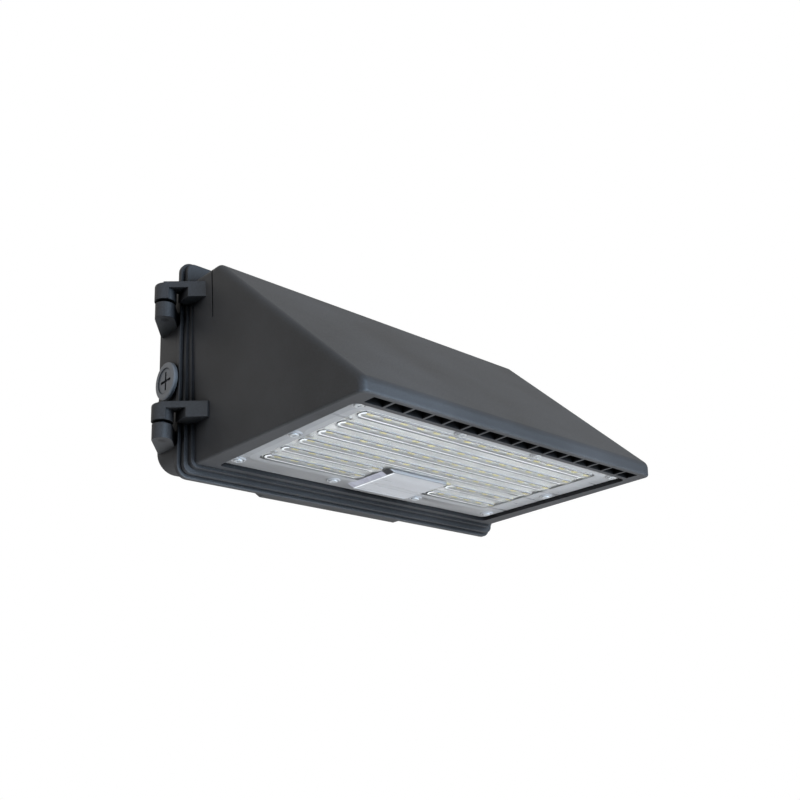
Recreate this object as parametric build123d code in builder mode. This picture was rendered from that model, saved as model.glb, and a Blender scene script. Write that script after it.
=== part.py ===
"""Full-cutoff LED wall light: a hinged cast hood over a shallow wall box.

Millimetres. +X is right seen from the front, +Y goes into the wall, +Z is up. The wall plane is Y = 0, and
the origin is the middle of the wire entry on that plane. A depth is a distance out from the wall: Y = -depth.
"""
import os
from math import asin, atan2, cos, degrees, hypot, inf, sin, tan

from build123d import *

# Back box
box_height_inset = 12.2
box_corner_radius = 16.0
box_depth = 35.0
box_wall = 3.0
box_back_wall = 3.5
box_side_margin = 8.8
rim_side_margin = 1.2
rim_half_height = 92.5
rim_corner_radius = 10.0
rim_thickness = 4.0
rim_edge_round = 1.0
pad_half_width = 77.0
pad_run = 7.0
pad_drop = 4.2
pad_length = 24.0

# Seal between the box and the hood
groove_width = 2.6
groove_depth = 1.5
groove_inset_x = 3.7
groove_inset_z = 10.0
groove_corner_radius = 20.0
parting_gap = 1.0

# Hood
flange_thickness = 4.0
flange_inset = 3.0
step_length = 5.0
step_drop = 2.4
step_side_low = 3.2
step_side_high = 0.4
hood_side_taper = 7.1
hood_side_lean = 5.6
hood_wall = 3.0
hood_edge_radius = 5.5
hood_lip_radius = 2.0
hood_brow_radius = 8.0
roof_inset = 16.9
roof_length = 41.5
base_inset = 6.5
lip_height = 11.0
floor_thickness = 4.0
slit_forward = 33.5
slit_length = 40.0
slit_width = 1.3
slit_cut = 1.4

# Lens stack under the hood's floor
lens_corner_radius = 5.0
lens_back_frame = 12.2
lens_front_frame = 4.6
lens_side_frame = 10.1
lens_recess = 3.5
lens_thickness = 2.0
lens_clearance = 0.4
lens_gasket_thickness = 2.0
lens_gasket_border = 1.5
board_end_margin = 7.5
board_row_margin = 10.0
board_corner_radius = 3.0
board_thickness = 1.6
board_clearance = 1.0
board_pocket_height = 0.8
row_count = 6
row_pitch = 23.2
row_shift = 5.7
bar_length = 247.0
bar_width = 12.0
bar_height = 1.2
bar_gap = 5.0
cover_length = 64.0
cover_width = 53.0
cover_height = 3.0
cover_wall = 1.4
cover_edge_round = 1.2
cover_shift = 0.5
cover_back_inset = 13.3
led_pitch = 16.0
led_length = 5.6
led_width = 4.0
led_height = 0.8
led_end_margin = 0.5

# Lens screws
lens_screw_board_gap_x = 9.0
lens_screw_board_gap_y = 7.5
lens_screw_side_inset = 8.8
lens_screw_back_inset = 13.8
lens_screw_front_inset = 6.7
lens_screw_front_x = 42.0
lens_screw_cover_gap_left = 19.2
lens_screw_cover_gap_right = 10.2
lens_screw_hole_depth = 3.8
lens_screw_head_radius = 3.7
lens_screw_head_height = 2.0
lens_screw_radius = 1.6
lens_hole_clearance = 0.6
lens_screw_tip_gap = 0.8

# Pockets between the lens and the lip
pocket_pitch = 18.3
pocket_rib = 2.2
pocket_width = 11.0
pocket_height = 9.0
pocket_lip_wall = 4.2
pocket_end_margin = 12.0

# Hinges
hinge_reach = 14.1
hinge_forward = 0.2
hinge_drop = 8.7
hinge_spacing = 101.2
knuckle_radius = 8.6
knuckle_height = 14.3
knuckle_edge_round = 2.4
knuckle_gap = 2.4
box_knuckle_inset = 0.7
box_knuckle_height = 12.4
web_sink = 2.6
web_root_depth = 12.0
arm_forward = 26.2
arm_block_length = 16.8
arm_block_height = 13.0
arm_bar_height = 5.2
arm_neck_length = 4.4
pin_radius = 3.0
pin_head_overlap = 1.6
pin_head_height = 1.4
pin_fixed_clearance = 0.02
pin_running_clearance = 0.08
pin_head_gap = 0.3

# Closing screws on the side away from the hinges
ear_reach = 7.0
ear_z = 45.0
ear_radius = 9.0
ear_hood_thickness = 10.0
ear_box_thickness = 15.0
closing_radius = 2.5
closing_hood_clearance = 0.7
closing_box_clearance = 0.6
closing_head_radius = 5.4
closing_head_height = 4.2
closing_engagement = 9.0

# Conduit entries
conduit_z = -9.5
conduit_hole_radius = 10.4
conduit_wall = 4.2
conduit_front_gap = 0.2
conduit_rim_proud = 0.2
conduit_inner_length = 8.0
plug_clearance = 0.3
plug_head_overlap = 5.2
plug_head_height = 3.4
plug_ring_width = 4.7
plug_face_recess = 1.0
plug_shank_length = 13.0
plug_slot_width = 2.2
plug_slot_depth = 1.6
plug_slot_inset = 3.1
plug_edge_round = 1.4
seal_thickness = 1.2
seal_width = 2.8

# Wall fixings and wire entry
wire_entry_radius = 11.1
wall_hole_radius = 3.25
wall_hole_span_x = 240.0
wall_hole_span_z = 100.0
junction_hole_radius = 2.4
junction_hole_span = 88.9

# Electrics
driver_length = 126.0
driver_width = 60.0
driver_height = 32.0
driver_edge_round = 2.0
driver_wall_gap = 3.53
driver_forward = 60.0
driver_tab_length = 11.0
driver_tab_thickness = 2.0
driver_tab_width = 30.0
surge_length = 46.0
surge_width = 30.0
surge_height = 22.0
surge_wall_gap = 44.8
surge_tab_length = 10.0
floor_screw_radius = 1.9
floor_screw_hole_depth = 3.2
floor_screw_head_radius = 3.6
floor_screw_head_height = 2.2
screw_hole_clearance = 0.2
board_screw_radius = 1.4
board_screw_hole_depth = 2.8
board_screw_head_radius = 2.7
board_screw_head_height = 0.9
connector_length = 14.0
connector_width = 10.0
connector_height = 4.0
connector_round = 1.0
board_wire_hole = 4.0
grommet_radius = 6.0
grommet_flange = 1.8
grommet_flange_height = 1.5
lead_radius = 1.1
lead_spacing = 3.6
lead_clearance = 0.15
lead_height = 14.0
lead_run = 25.0
lead_bend_radius = 7.0
terminal_end = 2.5
terminal_height = 22.0
terminal_thickness = 16.0
terminal_x = 84.0
terminal_z = 8.0
terminal_poles = 3
terminal_pitch = 13.0
terminal_screw_radius = 3.2
terminal_screw_height = 1.2
terminal_core_radius = 1.5
terminal_screw_sink = 6.0
terminal_round = 1.0
ground_boss_radius = 6.0
ground_boss_height = 6.0
ground_x = -62.0
ground_z = 30.0
ground_screw_radius = 2.0
ground_screw_length = 5.0
ground_head_radius = 4.6
ground_head_height = 3.4

# Screw heads
recess_width = 0.9
recess_reach_share = 0.62
recess_depth_share = 0.6
head_round_share = 0.45

# Depths and widths, from the rows of LEDs outward to the hood, the box and its rim
flange_back = box_depth + parting_gap
flange_front = flange_back + flange_thickness
board_length = bar_length + 2 * board_end_margin
board_width = (row_count - 1) * row_pitch + 2 * board_row_margin
lens_screw_span_x = board_length + 2 * lens_screw_board_gap_x
lens_screw_span_y = board_width + 2 * lens_screw_board_gap_y
lens_length = lens_screw_span_x + 2 * lens_screw_side_inset
lens_width = lens_screw_span_y + lens_screw_back_inset + lens_screw_front_inset
lens_back_depth = flange_front + lens_back_frame
lens_middle_depth = lens_back_depth + lens_width / 2
lens_front_depth = lens_back_depth + lens_width
pocket_middle_depth = lens_front_depth + lens_front_frame + pocket_width / 2
lip_depth = pocket_middle_depth + pocket_width / 2 + pocket_lip_wall
ridge_depth = flange_front + roof_length
slit_depth = flange_front + slit_forward
hood_half_lip = lens_length / 2 + lens_side_frame
hood_half_low = hood_half_lip + hood_side_taper
hood_half_high = hood_half_low + hood_side_lean
step_half_low = hood_half_low + step_side_low
step_half_high = hood_half_high + step_side_high
box_half_width = hood_half_low + box_side_margin
rim_half_width = box_half_width + rim_side_margin
flange_half_width = rim_half_width - flange_inset
groove_half_width = rim_half_width - groove_inset_x
pocket_count = int(2 * (hood_half_lip - pocket_end_margin) // pocket_pitch)

# Heights
box_half_height = rim_half_height - box_height_inset
flange_half_height = rim_half_height - flange_inset
groove_half_height = rim_half_height - groove_inset_z
flange_corner_radius = rim_corner_radius - flange_inset
roof_z = flange_half_height - roof_inset
hood_base_z = base_inset - flange_half_height
lip_top_z = hood_base_z + lip_height
brow_low_z = lip_top_z - lip_height / 4
brow_high_z = lip_top_z + lip_height / 4
slit_middle_z = roof_z - hood_edge_radius / 2 - slit_length / 2
slope_angle = atan2(roof_z - lip_top_z, lip_depth - ridge_depth)
lens_outer_z = hood_base_z + lens_recess
lens_inner_z = lens_outer_z + lens_thickness
lens_seat_z = lens_inner_z + lens_gasket_thickness
board_top_z = lens_seat_z + board_pocket_height
board_under_z = board_top_z - board_thickness
floor_top_z = board_top_z + floor_thickness


def hood_half_width(depth, z):
    """Half the hood's outside width at a place on its side wall."""
    return hood_half_low - side_draft * (depth - flange_front) + side_lean * (z - hood_base_z)


# Slopes of the hood's side walls, and the hinge on the left one
side_draft = hood_side_taper / (lip_depth - flange_front)
side_lean = hood_side_lean / (roof_z - hood_base_z)
hinge_x = -rim_half_width - hinge_reach
hinge_depth = flange_back + hinge_forward
hinge_upper_z = roof_z - hinge_drop
hinge_levels = {"upper": hinge_upper_z, "lower": hinge_upper_z - hinge_spacing}
web_root_x = web_sink - box_half_width
arm_front_depth = flange_front + arm_forward
arm_root_x = -hood_half_width(arm_front_depth, 0)
hinge_to_root = hypot(arm_root_x - hinge_x, arm_front_depth - hinge_depth)
root_angle = atan2(arm_front_depth - hinge_depth, arm_root_x - hinge_x)
arm_angle = root_angle - asin(knuckle_radius / hinge_to_root)
arm_length = hinge_to_root * cos(root_angle - arm_angle)
box_knuckle_radius = knuckle_radius - box_knuckle_inset
pin_head_radius = pin_radius + pin_head_overlap
pin_length = pin_head_gap + knuckle_height + knuckle_gap + box_knuckle_height

# Closing screws and conduit entries
ear_x = rim_half_width + ear_reach
closing_levels = {"upper": ear_z, "lower": -ear_z}
closing_hood_hole = closing_radius + closing_hood_clearance
closing_box_hole = closing_radius + closing_box_clearance
closing_head_depth = flange_back + ear_hood_thickness
closing_length = closing_head_depth - box_depth + closing_engagement
conduit_boss_radius = conduit_hole_radius + conduit_wall
conduit_depth = box_depth - conduit_front_gap - conduit_boss_radius
boss_face_x = rim_half_width + conduit_rim_proud
conduit_boss_proud = boss_face_x - box_half_width
plug_head_radius = conduit_hole_radius + plug_head_overlap
plug_slot_length = 2 * (plug_head_radius - plug_ring_width - plug_slot_inset)
plug_seat_x = boss_face_x + seal_thickness
plug_face_x = plug_seat_x + plug_head_height
seal_radius = conduit_hole_radius + seal_width

# Electrics: the driver stands off the left wall, and its leads drop to the connector on the board
cover_back_depth = lens_back_depth + cover_back_inset
cover_middle_depth = cover_back_depth + cover_width / 2
driver_depth = flange_front + driver_forward
driver_wall_x = hood_wall - hood_half_width(driver_depth, floor_top_z)
driver_x = driver_wall_x + driver_wall_gap + driver_tab_length + driver_length / 2
driver_end_x = driver_x + driver_length / 2
connector_x = driver_end_x + lead_run
connector_depth = cover_middle_depth
cover_x = connector_x + cover_shift
surge_depth = connector_depth
surge_wall_x = hood_half_width(surge_depth, floor_top_z) - hood_wall
surge_x = surge_wall_x - surge_wall_gap - surge_tab_length - surge_length / 2
lead_rows = {
    "plus": -connector_depth + lead_spacing / 2,
    "minus": -connector_depth - lead_spacing / 2,
}
driver_screw_reach = (driver_length + driver_tab_length) / 2
driver_screw_points = [(driver_x + s * driver_screw_reach, -driver_depth) for s in (-1, 1)]
surge_screw_point = (surge_x + (surge_length + surge_tab_length) / 2, -surge_depth)
floor_screw_length = driver_tab_thickness + floor_screw_hole_depth
terminal_length = terminal_poles * terminal_pitch + 2 * terminal_end

# Screws and rows round the board
back_screw_depth = lens_back_depth + lens_screw_back_inset
front_screw_depth = back_screw_depth + lens_screw_span_y
board_middle_depth = (back_screw_depth + front_screw_depth) / 2
row_middle_depth = board_middle_depth + row_shift
row_depths = [row_middle_depth + (i - (row_count - 1) / 2) * row_pitch for i in range(row_count)]
cover_screw_places = (
    cover_x - cover_length / 2 - lens_screw_cover_gap_left,
    cover_x + cover_length / 2 + lens_screw_cover_gap_right,
)
lens_screw_points = (
    [(s * lens_screw_span_x / 2, -d) for s in (-1, 1) for d in (back_screw_depth, front_screw_depth)]
    + [(x, -back_screw_depth) for x in cover_screw_places]
    + [(s * lens_screw_front_x, -front_screw_depth) for s in (-1, 1)]
    + [(s * lens_screw_span_x / 2, -board_middle_depth) for s in (-1, 1)]
)
lens_screw_length = lens_thickness + lens_gasket_thickness + lens_screw_hole_depth - lens_screw_tip_gap
board_screw_points = [
    (sx * (board_length / 2 - 2 * board_screw_head_radius), -(board_middle_depth + sy * 2 * row_pitch))
    for sx in (-1, 1) for sy in (-1, 0, 1)
]
board_screw_length = board_thickness + board_screw_hole_depth


def arm_point(along):
    """Plan point on a hinge arm's front face, which runs from the hood's side wall to touch the knuckle."""
    return (arm_root_x - along * cos(arm_angle), -arm_front_depth + along * sin(arm_angle))


def bar_spans(depth):
    """X ranges of the lens bars in one row, broken where the flat box stands."""
    ends = (-bar_length / 2, bar_length / 2)
    if abs(depth - cover_middle_depth) > (cover_width + bar_width) / 2:
        return [ends]
    reach = cover_length / 2 + bar_gap
    return [(ends[0], cover_x - reach), (cover_x + reach, ends[1])]


def led_positions(depth):
    """X places of the LEDs in one row, clear of the ends of its bars."""
    places = []
    for start_x, end_x in bar_spans(depth):
        count = int((end_x - start_x - 2 * led_end_margin) // led_pitch) + 1
        first = (start_x + end_x - (count - 1) * led_pitch) / 2
        places += [first + i * led_pitch for i in range(count)]
    return places


def free_edges(builder, low_z, high_z):
    """Edges in front of the flange whose middles are between two heights."""
    front = builder.edges().filter_by(lambda e: e.center().Y < -flange_back - flange_thickness / 2)
    return front.filter_by(lambda e: low_z < e.center().Z < high_z)


def side_plane(side, inset):
    """Plane of the hood's left (-1) or right (1) side wall, drawn in by inset, with its normal outward."""
    middle = Vector(side * (hood_half_low - inset), -flange_front, hood_base_z)
    return Plane(origin=middle, z_dir=(side, -side_draft, -side_lean))


def hood_wedge(outline, inset):
    """Solid between the hood's two side planes, from an outline of (depth, z) corners."""
    reach = max(hood_half_low, hood_half_high) + hood_wall
    with BuildPart() as wedge:
        with BuildSketch(Plane.YZ.offset(-reach)):
            with BuildLine():
                Polyline(*[(-depth, z) for depth, z in outline], close=True)
            make_face()
        extrude(amount=2 * reach)
        for side in (-1, 1):
            split(bisect_by=side_plane(side, inset), keep=Keep.BOTTOM)
    return wedge.part


def inner_outline(floor_z):
    """Outline of the space inside the hood, a wall's thickness in from its roof and slope."""
    ridge = ridge_depth - hood_wall * tan(slope_angle / 2)
    roof = roof_z - hood_wall
    front = ridge + (roof - floor_z) / tan(slope_angle)
    back = box_depth
    return [(back, floor_z), (front, floor_z), (ridge, roof), (back, roof)]


def ring_sketch(half_width, half_height, radius, width):
    """Rounded rectangular ring, width wide, inside the given half sizes."""
    RectangleRounded(2 * half_width, 2 * half_height, radius)
    RectangleRounded(2 * (half_width - width), 2 * (half_height - width), radius - width, mode=Mode.SUBTRACT)


def cross_recess(radius, depth):
    """Cross-shaped driver recess, cut from z = 0 downward at the current locations."""
    for size in ((2 * radius, recess_width, depth), (recess_width, 2 * radius, depth)):
        Box(*size, align=(Align.CENTER, Align.CENTER, Align.MAX), mode=Mode.SUBTRACT)


def pan_screw(head_radius, head_height, radius, length):
    """Pan-head screw along Z: its head above z = 0 and its shank below."""
    with BuildPart() as screw:
        Cylinder(head_radius, head_height, align=(Align.CENTER, Align.CENTER, Align.MIN))
        fillet(screw.edges().group_by(Axis.Z)[-1], head_height * head_round_share)
        Cylinder(radius, length, align=(Align.CENTER, Align.CENTER, Align.MAX))
        with Locations((0, 0, head_height)):
            cross_recess(head_radius * recess_reach_share, head_height * recess_depth_share)
    return screw.part


def finish(part, name):
    """Label a piece and write it."""
    part.label = name
    export_step(part, f"parts/{name}.step")


os.makedirs("parts", exist_ok=True)

# Back box: tub, rim, bottom pad, bosses, hinge knuckles and ears, then everything that is cut out of them
with BuildPart() as back_box:
    with BuildSketch(Plane.XZ):
        RectangleRounded(2 * box_half_width, 2 * box_half_height, box_corner_radius)
    extrude(amount=box_depth)
    with BuildSketch(Plane.XZ.offset(box_depth - rim_thickness)):
        RectangleRounded(2 * rim_half_width, 2 * rim_half_height, rim_corner_radius)
    extrude(amount=rim_thickness)
    rim_front = back_box.faces().sort_by(Axis.Y)[0]
    fillet(rim_front.outer_wire().edges(), rim_edge_round)
    with BuildSketch(Plane.XZ):
        with BuildLine():
            Polyline(
                (-pad_half_width - pad_run, -box_half_height),
                (-pad_half_width, -box_half_height - pad_drop),
                (pad_half_width, -box_half_height - pad_drop),
                (pad_half_width + pad_run, -box_half_height),
                (pad_half_width, -box_half_height + box_wall),
                (-pad_half_width, -box_half_height + box_wall),
                close=True,
            )
        make_face()
    extrude(amount=pad_length)
    for side in (-1, 1):
        with BuildSketch(Plane.YZ.offset(side * boss_face_x)):
            with Locations((-conduit_depth, conduit_z)):
                Circle(conduit_boss_radius)
        extrude(amount=-side * (conduit_boss_proud + box_wall))
    for top_z in hinge_levels.values():
        box_knuckle_top = top_z - knuckle_height - knuckle_gap
        box_knuckle_low = box_knuckle_top - box_knuckle_height
        web_angle = degrees(atan2(hinge_depth - web_root_depth, web_root_x - hinge_x))
        web_length = hypot(hinge_depth - web_root_depth, web_root_x - hinge_x)
        web_middle = ((hinge_x + web_root_x) / 2, -(hinge_depth + web_root_depth) / 2)
        with BuildSketch(Plane.XY.offset(box_knuckle_low)):
            with Locations(web_middle):
                SlotCenterToCenter(web_length, 2 * box_knuckle_radius, rotation=web_angle)
        extrude(amount=box_knuckle_height)
    for ear_level in closing_levels.values():
        with BuildSketch(Plane.XZ.offset(box_depth - ear_box_thickness)):
            with Locations((ear_x, ear_level)):
                Circle(ear_radius)
            with Locations(((ear_x + box_half_width - box_wall) / 2, ear_level)):
                Rectangle(ear_x - box_half_width + box_wall, 2 * ear_radius)
        extrude(amount=ear_box_thickness)
    with BuildSketch(Plane.XZ.offset(box_back_wall)):
        RectangleRounded(
            2 * (box_half_width - box_wall), 2 * (box_half_height - box_wall), box_corner_radius - box_wall
        )
    extrude(amount=box_depth, mode=Mode.SUBTRACT)
    for side in (-1, 1):
        with BuildSketch(Plane.YZ.offset(side * (box_half_width - box_wall / 2))):
            with Locations((-conduit_depth, conduit_z)):
                Circle(conduit_boss_radius)
        extrude(amount=-side * (conduit_inner_length + box_wall / 2))
        with BuildSketch(Plane.YZ.offset(side * boss_face_x)):
            with Locations((-conduit_depth, conduit_z)):
                Circle(conduit_hole_radius)
        extrude(
            amount=-side * (conduit_boss_proud + box_wall + conduit_inner_length), mode=Mode.SUBTRACT
        )
    with BuildSketch(Plane.XZ.offset(box_depth - groove_depth)):
        ring_sketch(groove_half_width, groove_half_height, groove_corner_radius, groove_width)
    extrude(amount=groove_depth, mode=Mode.SUBTRACT)
    with BuildSketch(Plane.XZ.offset(box_back_wall)):
        with Locations((ground_x, ground_z)):
            Circle(ground_boss_radius)
    extrude(amount=ground_boss_height)
    with BuildSketch(Plane.XZ.offset(box_back_wall + ground_boss_height - ground_screw_length)):
        with Locations((ground_x, ground_z)):
            Circle(ground_screw_radius + screw_hole_clearance)
    extrude(amount=ground_screw_length, mode=Mode.SUBTRACT)
    with BuildSketch(Plane.XZ):
        Circle(wire_entry_radius)
        with GridLocations(wall_hole_span_x, wall_hole_span_z, 2, 2):
            Circle(wall_hole_radius)
        with GridLocations(junction_hole_span, 0, 2, 1):
            Circle(junction_hole_radius)
    extrude(amount=box_back_wall, mode=Mode.SUBTRACT)
    for top_z in hinge_levels.values():
        with BuildSketch(Plane.XY.offset(top_z - knuckle_height - knuckle_gap - box_knuckle_height)):
            with Locations((hinge_x, -hinge_depth)):
                Circle(pin_radius + pin_fixed_clearance)
        extrude(amount=box_knuckle_height, mode=Mode.SUBTRACT)
    with BuildSketch(Plane.XZ.offset(box_depth - ear_box_thickness)):
        with Locations(*[(ear_x, level) for level in closing_levels.values()]):
            Circle(closing_box_hole)
    extrude(amount=ear_box_thickness, mode=Mode.SUBTRACT)
finish(back_box.part, "back_box")

# Seal that lies in the rim's groove and meets the hood's flange
with BuildPart() as box_gasket:
    with BuildSketch(Plane.XZ.offset(box_depth - groove_depth)):
        ring_sketch(groove_half_width, groove_half_height, groove_corner_radius, groove_width)
    extrude(amount=groove_depth + parting_gap)
finish(box_gasket.part, "box_gasket")

# Hood: a filleted wedge, its flange, hinge arms and ears, then its inside, lens stack and holes
outer_outline = [
    (flange_back, hood_base_z),
    (lip_depth, hood_base_z),
    (lip_depth, lip_top_z),
    (ridge_depth, roof_z),
    (flange_back, roof_z),
]
with BuildPart() as hood_knuckle:
    Cylinder(knuckle_radius, knuckle_height, align=(Align.CENTER, Align.CENTER, Align.MAX))
    fillet(hood_knuckle.edges().group_by(Axis.Z)[-1], knuckle_edge_round)
with BuildPart() as front_housing:
    add(hood_wedge(outer_outline, 0))
    fillet(free_edges(front_housing, brow_low_z, brow_high_z), hood_brow_radius)
    fillet(free_edges(front_housing, brow_high_z, inf), hood_edge_radius)
    fillet(free_edges(front_housing, -inf, brow_low_z), hood_lip_radius)
    with BuildSketch(Plane.XZ.offset(flange_back)):
        RectangleRounded(2 * flange_half_width, 2 * flange_half_height, flange_corner_radius)
    extrude(amount=flange_thickness)
    with BuildSketch(Plane.XZ.offset(flange_front)):
        with BuildLine():
            FilletPolyline(
                (-step_half_low, hood_base_z - step_drop),
                (step_half_low, hood_base_z - step_drop),
                (step_half_high, roof_z + step_drop),
                (-step_half_high, roof_z + step_drop),
                radius=hood_edge_radius,
                close=True,
            )
        make_face()
    extrude(amount=step_length)
    for top_z in hinge_levels.values():
        block_corner = arm_point(arm_block_length)
        with BuildSketch(Plane.XY.offset(top_z - arm_block_height)):
            with BuildLine():
                Polyline(
                    (-hood_half_lip, -arm_front_depth),
                    arm_point(0),
                    block_corner,
                    (block_corner[0], -flange_front),
                    (-hood_half_lip, -flange_front),
                    close=True,
                )
            make_face()
        extrude(amount=arm_block_height)
        with BuildSketch(Plane.XY.offset(top_z - arm_bar_height)):
            with BuildLine():
                Polyline(
                    block_corner,
                    arm_point(arm_length),
                    (hinge_x, -hinge_depth),
                    (block_corner[0], -flange_front),
                    close=True,
                )
            make_face()
        extrude(amount=arm_bar_height)
        with BuildSketch(Plane.XY.offset(top_z - knuckle_height)):
            with BuildLine():
                Polyline(
                    arm_point(arm_length - arm_neck_length),
                    arm_point(arm_length),
                    (hinge_x, -hinge_depth),
                    close=True,
                )
            make_face()
        extrude(amount=knuckle_height)
        with Locations((hinge_x, -hinge_depth, top_z)):
            add(hood_knuckle.part)
        with BuildSketch(Plane.XY.offset(top_z - knuckle_height)):
            with Locations((hinge_x, -hinge_depth)):
                Circle(pin_radius + pin_running_clearance)
        extrude(amount=knuckle_height, mode=Mode.SUBTRACT)
    with BuildSketch(Plane.XZ.offset(flange_back)):
        for ear_level in closing_levels.values():
            with Locations((ear_x, ear_level)):
                Circle(ear_radius)
            with Locations(((ear_x + hood_half_lip) / 2, ear_level)):
                Rectangle(ear_x - hood_half_lip, 2 * ear_radius)
    extrude(amount=ear_hood_thickness)
    with BuildSketch(Plane.XZ.offset(flange_back)):
        with Locations(*[(ear_x, level) for level in closing_levels.values()]):
            Circle(closing_hood_hole)
    extrude(amount=ear_hood_thickness, mode=Mode.SUBTRACT)
    add(hood_wedge(inner_outline(floor_top_z), hood_wall), mode=Mode.SUBTRACT)
    with BuildSketch(Plane.XY.offset(hood_base_z)):
        with Locations((0, -lens_middle_depth)):
            RectangleRounded(
                lens_length + 2 * lens_clearance,
                lens_width + 2 * lens_clearance,
                lens_corner_radius + lens_clearance,
            )
    extrude(amount=lens_seat_z - hood_base_z, mode=Mode.SUBTRACT)
    with BuildSketch(Plane.XY.offset(lens_seat_z)):
        with Locations((0, -board_middle_depth)):
            RectangleRounded(
                board_length + 2 * board_clearance,
                board_width + 2 * board_clearance,
                board_corner_radius + board_clearance,
            )
    extrude(amount=board_pocket_height, mode=Mode.SUBTRACT)
    with BuildSketch(Plane.XY.offset(lens_seat_z)):
        with Locations(*lens_screw_points):
            Circle(lens_screw_radius + screw_hole_clearance)
    extrude(amount=lens_screw_hole_depth, mode=Mode.SUBTRACT)
    with BuildSketch(Plane.XY.offset(board_top_z)):
        with Locations(*board_screw_points):
            Circle(board_screw_radius + screw_hole_clearance)
    extrude(amount=board_screw_hole_depth, mode=Mode.SUBTRACT)
    with BuildSketch(Plane.XY.offset(board_top_z)):
        with Locations((connector_x, -connector_depth)):
            Circle(grommet_radius)
    extrude(amount=floor_thickness, mode=Mode.SUBTRACT)
    with BuildSketch(Plane.XY.offset(floor_top_z - floor_screw_hole_depth)):
        with Locations(*driver_screw_points, surge_screw_point):
            Circle(floor_screw_radius + screw_hole_clearance)
    extrude(amount=floor_screw_hole_depth, mode=Mode.SUBTRACT)
    with BuildSketch(Plane.XY.offset(hood_base_z)):
        with Locations((0, -pocket_middle_depth)):
            with GridLocations(pocket_pitch, 0, pocket_count, 1):
                Rectangle(pocket_pitch - pocket_rib, pocket_width)
    extrude(amount=pocket_height, mode=Mode.SUBTRACT)
    with Locations((-hood_half_width(slit_depth, slit_middle_z), -slit_depth, slit_middle_z)):
        Box(2 * slit_cut, slit_width, slit_length, mode=Mode.SUBTRACT)
finish(front_housing.part, "front_housing")

# Hinge pins: fixed in the box's knuckles, free in the hood's
for level_name, top_z in hinge_levels.items():
    with BuildPart() as hinge_pin:
        with Locations((hinge_x, -hinge_depth, top_z + pin_head_gap)):
            Cylinder(pin_head_radius, pin_head_height, align=(Align.CENTER, Align.CENTER, Align.MIN))
            Cylinder(pin_radius, pin_length, align=(Align.CENTER, Align.CENTER, Align.MAX))
        fillet(hinge_pin.edges().group_by(Axis.Z)[-1], pin_head_height / 2)
    finish(hinge_pin.part, f"hinge_pin_{level_name}")

# Conduit plugs with their seals
for side_name, side in (("left", -1), ("right", 1)):
    with BuildPart() as conduit_plug:
        with BuildSketch(Plane.YZ.offset(side * plug_seat_x)):
            with Locations((-conduit_depth, conduit_z)):
                Circle(plug_head_radius)
        extrude(amount=side * plug_head_height)
        fillet(conduit_plug.edges().sort_by(Axis.X)[-1 if side > 0 else 0], plug_edge_round)
        with BuildSketch(Plane.YZ.offset(side * plug_face_x)):
            with Locations((-conduit_depth, conduit_z)):
                Circle(plug_head_radius - plug_ring_width)
        extrude(amount=-side * plug_face_recess, mode=Mode.SUBTRACT)
        with BuildSketch(Plane.YZ.offset(side * (plug_face_x - plug_face_recess))):
            with Locations((-conduit_depth, conduit_z)):
                Rectangle(plug_slot_length, plug_slot_width)
                Rectangle(plug_slot_width, plug_slot_length)
        extrude(amount=-side * plug_slot_depth, mode=Mode.SUBTRACT)
        with BuildSketch(Plane.YZ.offset(side * plug_seat_x)):
            with Locations((-conduit_depth, conduit_z)):
                Circle(conduit_hole_radius - plug_clearance)
        extrude(amount=-side * plug_shank_length)
    finish(conduit_plug.part, f"conduit_plug_{side_name}")
    with BuildPart() as plug_seal:
        with BuildSketch(Plane.YZ.offset(side * boss_face_x)):
            with Locations((-conduit_depth, conduit_z)):
                Circle(seal_radius)
                Circle(conduit_hole_radius, mode=Mode.SUBTRACT)
        extrude(amount=side * seal_thickness)
    finish(plug_seal.part, f"plug_seal_{side_name}")

# Lens with its bars and the flat box over the board's connector
with BuildPart() as lens_plate:
    with BuildSketch(Plane.XY.offset(lens_outer_z)):
        with Locations((0, -lens_middle_depth)):
            RectangleRounded(lens_length, lens_width, lens_corner_radius)
    extrude(amount=lens_thickness)
    with BuildSketch(Plane.XY.offset(lens_outer_z)):
        with Locations((cover_x, -cover_middle_depth)):
            Rectangle(cover_length, cover_width)
    extrude(amount=-cover_height)
    fillet(lens_plate.edges().group_by(Axis.Z)[0], cover_edge_round)
    for row_depth in row_depths:
        for start_x, end_x in bar_spans(row_depth):
            bar_front = (-row_depth - bar_width / 2, lens_outer_z)
            bar_back = (-row_depth + bar_width / 2, lens_outer_z)
            with BuildSketch(Plane.YZ.offset(start_x)):
                with BuildLine():
                    ThreePointArc(bar_front, (-row_depth, lens_outer_z - bar_height), bar_back)
                    Line(bar_back, bar_front)
                make_face()
            extrude(amount=end_x - start_x)
    with BuildSketch(Plane.XY.offset(lens_inner_z)):
        with Locations((cover_x, -cover_middle_depth)):
            Rectangle(cover_length - 2 * cover_wall, cover_width - 2 * cover_wall)
    extrude(amount=cover_wall - cover_height - lens_thickness, mode=Mode.SUBTRACT)
    with BuildSketch(Plane.XY.offset(lens_outer_z)):
        with Locations(*lens_screw_points):
            Circle(lens_screw_radius + lens_hole_clearance)
    extrude(amount=lens_thickness, mode=Mode.SUBTRACT)
finish(lens_plate.part, "lens_plate")

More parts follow.
